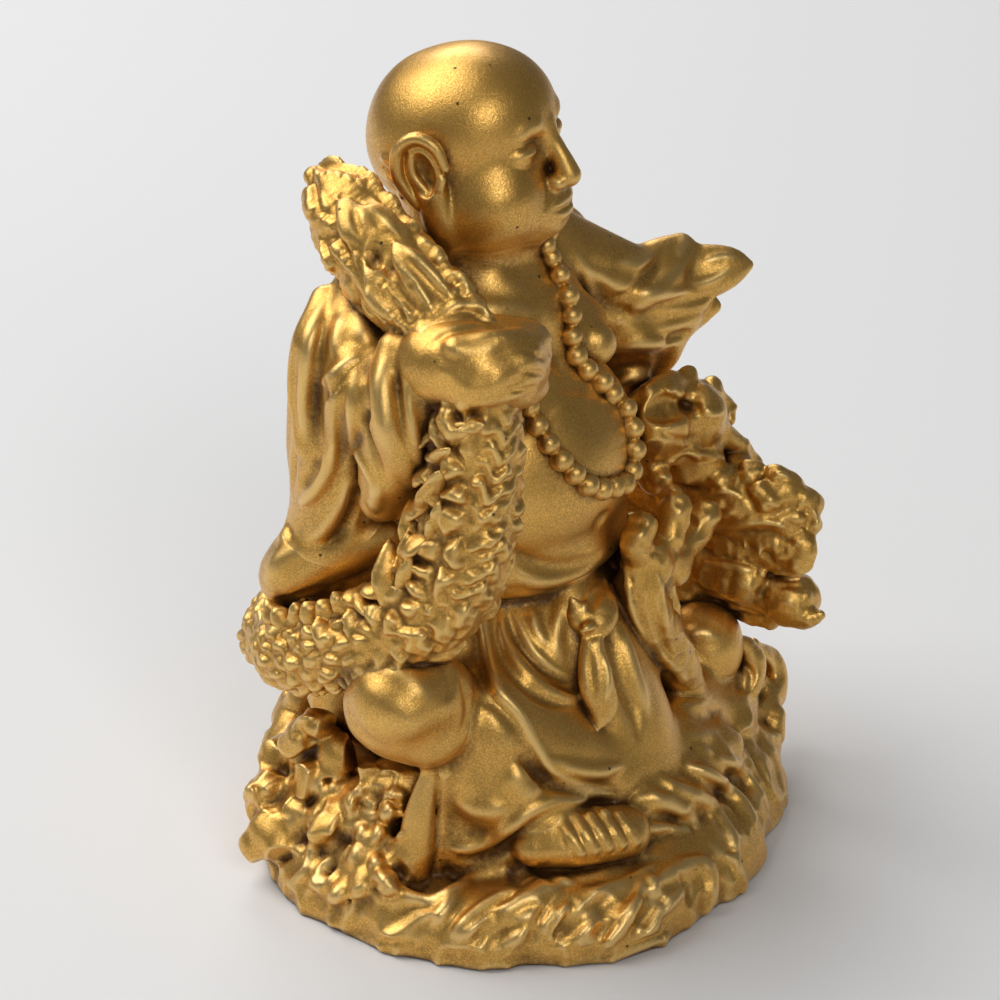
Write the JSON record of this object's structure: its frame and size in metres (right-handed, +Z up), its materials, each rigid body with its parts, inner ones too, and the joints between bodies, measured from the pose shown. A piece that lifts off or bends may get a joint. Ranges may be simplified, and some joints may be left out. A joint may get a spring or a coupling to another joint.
{
  "type": "seated monk and dragon figurine",
  "caption": "Small gold-painted resin figurine: a seated, round-bellied monk with a prayer-bead strand and a dragon wound round them, on a round rock-and-cloud base.",
  "frame": {"origin": "on the flat underside of the base, near its middle, in the plane the object stands on", "axes": "+Z up; the figure faces -Y, its right hand is at -X and the dragon's head at +X"},
  "size_m": [0.0423, 0.04, 0.0619],
  "materials": {
    "gold_base": "gold paint on resin, satin, worn and darker in the hollows",
    "gold_skin": "gold paint on resin, satin",
    "gold_robe": "gold paint on resin, satin",
    "gold_dragon": "gold paint on resin, satin, darker between the scales"
  },
  "bodies": {
    "root": {"base_rock": "gold_base", "cloud_curls_right": "gold_base", "cloud_curls_left": "gold_base", "cloud_curls_back": "gold_base", "head": "gold_skin", "torso": "gold_skin", "right_hand": "gold_skin", "left_hand": "gold_skin", "right_knee": "gold_skin", "left_knee": "gold_skin", "right_foot": "gold_skin", "prayer_beads": "gold_skin", "robe_skirt": "gold_robe", "robe_back": "gold_robe", "right_sleeve": "gold_robe", "left_sleeve": "gold_robe", "waist_sash": "gold_robe", "dragon_body_front": "gold_dragon", "dragon_body_rear": "gold_dragon", "dragon_tail": "gold_dragon", "dragon_head": "gold_dragon", "dragon_lower_jaw": "gold_dragon", "dragon_horns": "gold_dragon", "dragon_mane": "gold_dragon", "dragon_foreleg": "gold_dragon", "dragon_fins_front": "gold_dragon", "dragon_fins_rear": "gold_dragon"}
  },
  "joints": []
}
